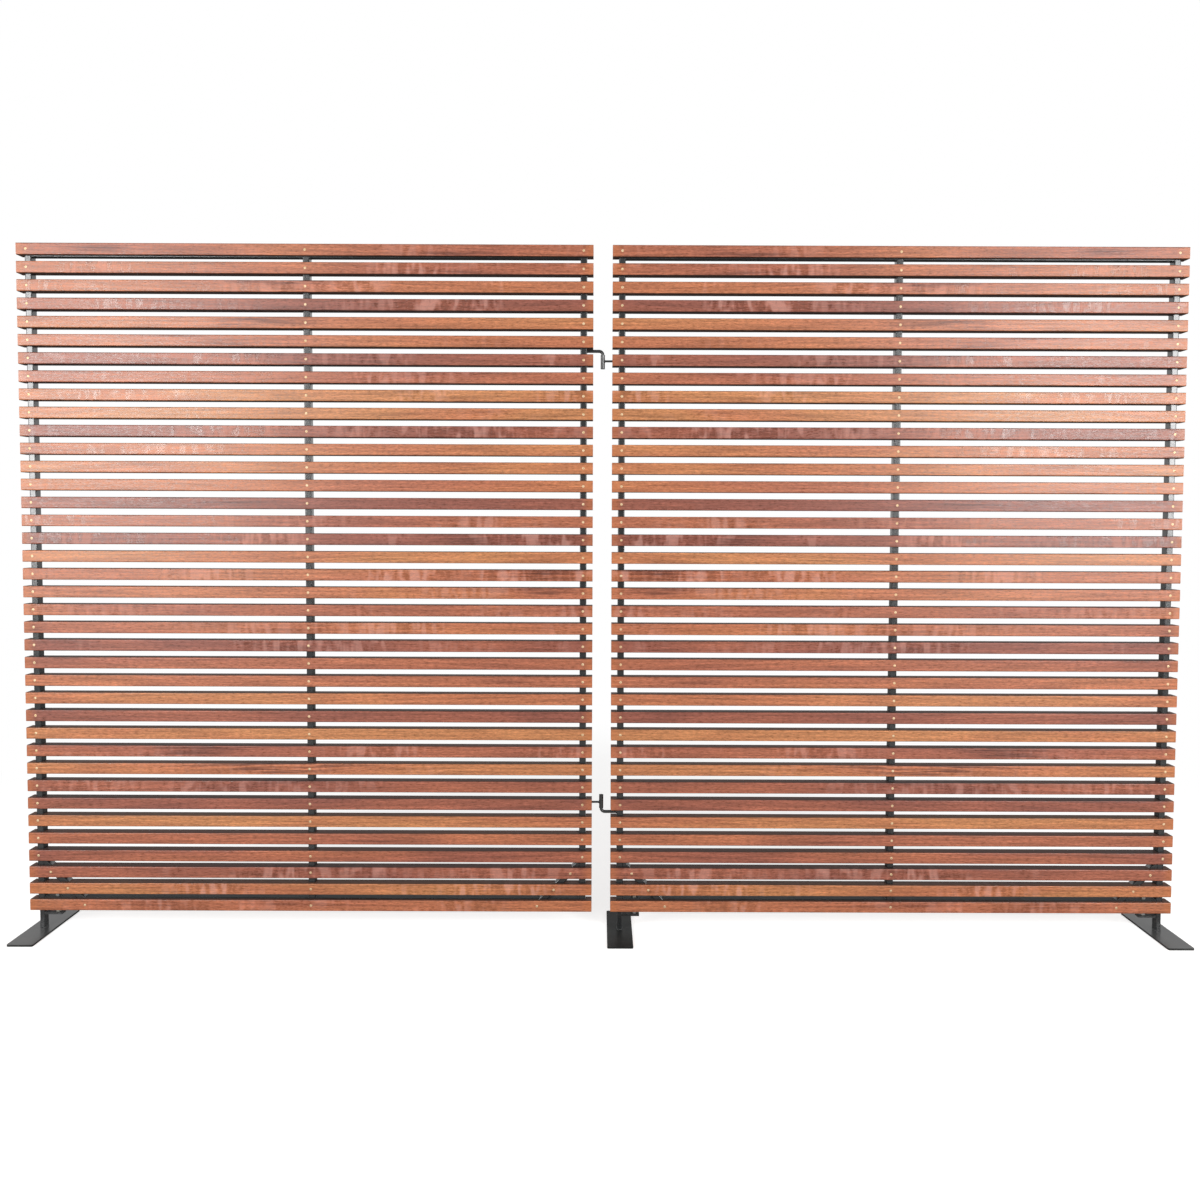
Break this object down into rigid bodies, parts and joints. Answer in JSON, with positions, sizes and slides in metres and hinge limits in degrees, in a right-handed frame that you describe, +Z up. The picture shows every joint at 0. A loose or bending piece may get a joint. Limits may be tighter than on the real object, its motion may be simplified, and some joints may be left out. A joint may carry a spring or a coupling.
{
  "type": "folding slatted screen",
  "caption": "Freestanding folding screen of horizontal hardwood slats on a black steel tube frame, with pin hinges between the panels and levelling feet on flat plates.",
  "frame": {"origin": "on the floor, straight below the hinge line and in the middle of the frame tubes' depth", "axes": "+X along the screen towards the right-hand panel, +Y from the slatted front to the back, +Z up"},
  "size_m": [3.544, 0.3, 2.1014],
  "materials": {
    "hardwood": "oiled satin, red-brown with a ribbon figure",
    "frame_coating": "black satin powder coat",
    "plate_coating": "dark grey satin powder coat",
    "brass": "turned and polished",
    "zinc_plate": "bright zinc plate",
    "black_plastic": "moulded, fine grain"
  },
  "bodies": {
    "right_panel": {"right_outer_stile": "frame_coating", "right_middle_stile": "frame_coating", "right_inner_stile": "frame_coating", "right_top_rail": "frame_coating", "right_bottom_rail": "frame_coating", "right_outer_brace": "frame_coating", "right_inner_brace": "frame_coating", "right_tube_plugs": "black_plastic", "right_slat_screws": "brass", "right_slats_1": "hardwood", "right_slats_2": "hardwood", "right_slats_3": "hardwood", "right_slats_4": "hardwood", "right_slats_5": "hardwood", "right_slats_6": "hardwood", "right_slats_7": "hardwood", "right_slats_8": "hardwood", "upper_hinge_sleeve": "frame_coating", "upper_hinge_stem": "frame_coating", "lower_hinge_pin": "frame_coating", "middle_foot_bolt": "zinc_plate", "middle_rail_nuts": "zinc_plate", "right_foot_bolt": "zinc_plate", "right_rail_nuts": "zinc_plate"},
    "left_panel": {"left_outer_stile": "frame_coating", "left_middle_stile": "frame_coating", "left_inner_stile": "frame_coating", "left_top_rail": "frame_coating", "left_bottom_rail": "frame_coating", "left_outer_brace": "frame_coating", "left_inner_brace": "frame_coating", "left_tube_plugs": "black_plastic", "left_slat_screws": "brass", "left_slats_1": "hardwood", "left_slats_2": "hardwood", "left_slats_3": "hardwood", "left_slats_4": "hardwood", "left_slats_5": "hardwood", "left_slats_6": "hardwood", "left_slats_7": "hardwood", "left_slats_8": "hardwood", "upper_hinge_pin": "frame_coating", "lower_hinge_sleeve": "frame_coating", "lower_hinge_stem": "frame_coating", "left_foot_bolt": "zinc_plate", "left_rail_nuts": "zinc_plate"},
    "left_foot": {"left_foot_plate": "plate_coating", "left_foot_post": "frame_coating", "left_foot_tab": "frame_coating", "left_foot_nut": "zinc_plate"},
    "middle_foot": {"middle_foot_plate": "plate_coating", "middle_foot_post": "frame_coating", "middle_foot_tab": "frame_coating", "middle_foot_nut": "zinc_plate"},
    "right_foot": {"right_foot_plate": "plate_coating", "right_foot_post": "frame_coating", "right_foot_tab": "frame_coating", "right_foot_nut": "zinc_plate"}
  },
  "joints": [
    {"name": "panel_fold", "type": "hinge", "parent": "right_panel", "child": "left_panel", "pos_m": [0, 0, 1.0825], "axis": [0, 0, 1], "range_deg": [-120, 90]},
    {"name": "left_foot_height", "type": "slide", "parent": "left_panel", "child": "left_foot", "axis": [0, 0, -1], "range_m": [-0.003, 0.006]},
    {"name": "middle_foot_height", "type": "slide", "parent": "right_panel", "child": "middle_foot", "axis": [0, 0, -1], "range_m": [-0.003, 0.006]},
    {"name": "right_foot_height", "type": "slide", "parent": "right_panel", "child": "right_foot", "axis": [0, 0, -1], "range_m": [-0.003, 0.006]}
  ]
}
